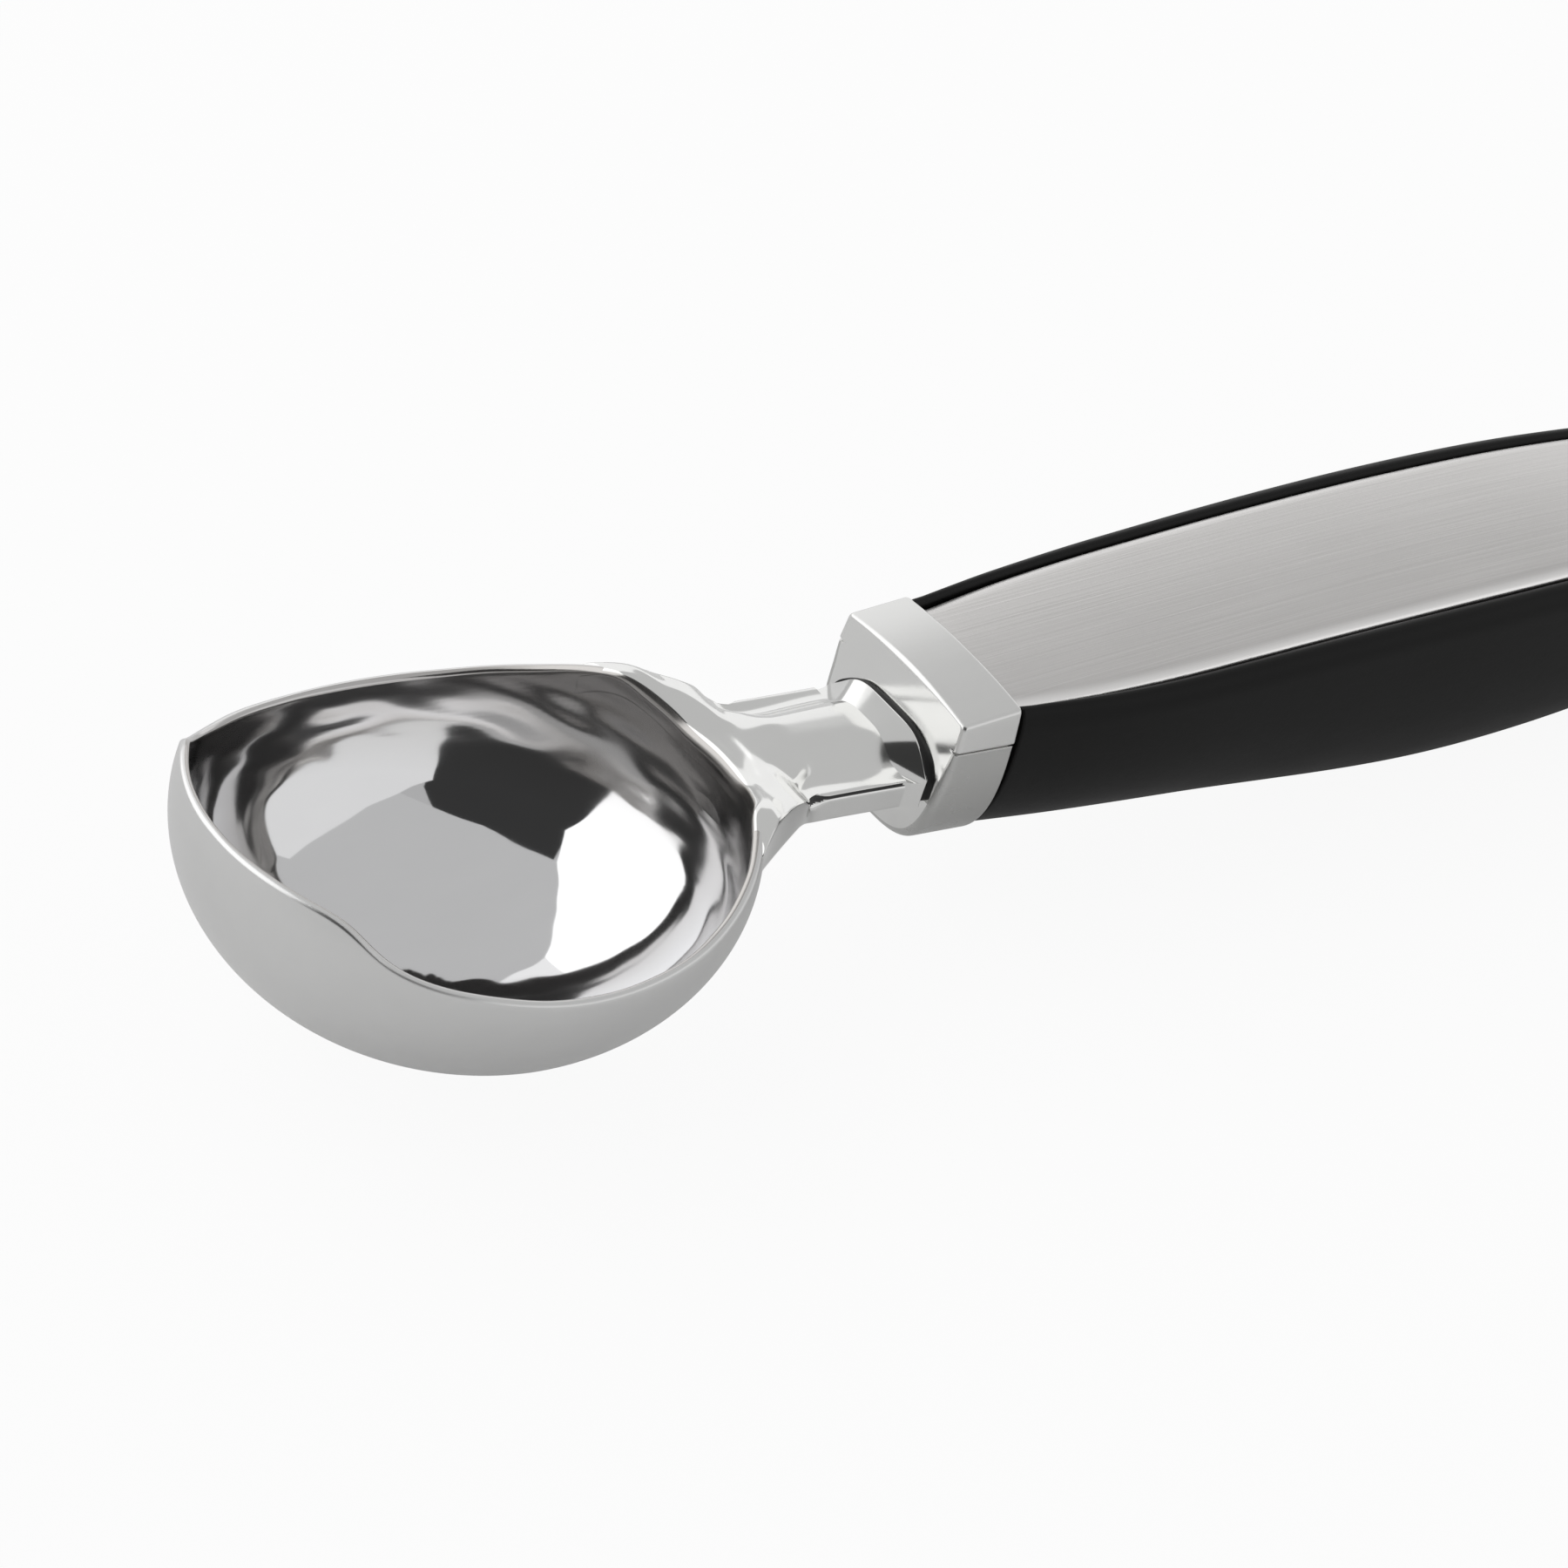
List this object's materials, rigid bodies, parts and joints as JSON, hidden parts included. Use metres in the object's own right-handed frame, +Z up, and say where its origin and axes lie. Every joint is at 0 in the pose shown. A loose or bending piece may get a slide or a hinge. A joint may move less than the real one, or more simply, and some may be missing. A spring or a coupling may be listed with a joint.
{
  "type": "ice cream scoop",
  "caption": "Rigid ice cream scoop: a deep beaked metal bowl on a short neck, a metal collar and a soft black handle with a brushed steel top plate and a hanging hole.",
  "frame": {"origin": "middle of the bounding box's base, on the table the scoop lies on", "axes": "+X from the bowl to the handle's end, +Y to the left seen from the handle, +Z up, the bowl's mouth facing up"},
  "size_m": [0.215, 0.0528, 0.0301],
  "materials": {
    "cast_metal": "cast metal, mirror polished inside the bowl and satin outside",
    "satin_metal": "fine satin",
    "brushed_steel": "brushed along the handle",
    "soft_grip": "matt, soft to the touch",
    "seal_rubber": "matt",
    "nylon": "moulded",
    "zinc_steel": "zinc plated"
  },
  "bodies": {
    "root": {"scoop_head": "cast_metal", "neck_seal": "seal_rubber", "collar_body": "satin_metal", "collar_cap": "satin_metal", "core_upper": "nylon", "core_lower": "nylon", "soft_grip": "soft_grip", "top_plate": "brushed_steel", "end_cap": "satin_metal", "end_cap_screw": "zinc_steel", "tang_dowel_1": "zinc_steel", "tang_dowel_2": "zinc_steel", "core_screw_1": "zinc_steel", "plate_stud_1": "brushed_steel", "push_nut_1": "zinc_steel", "core_screw_2": "zinc_steel", "plate_stud_2": "brushed_steel", "push_nut_2": "zinc_steel", "core_screw_3": "zinc_steel", "plate_stud_3": "brushed_steel", "push_nut_3": "zinc_steel"}
  },
  "joints": []
}
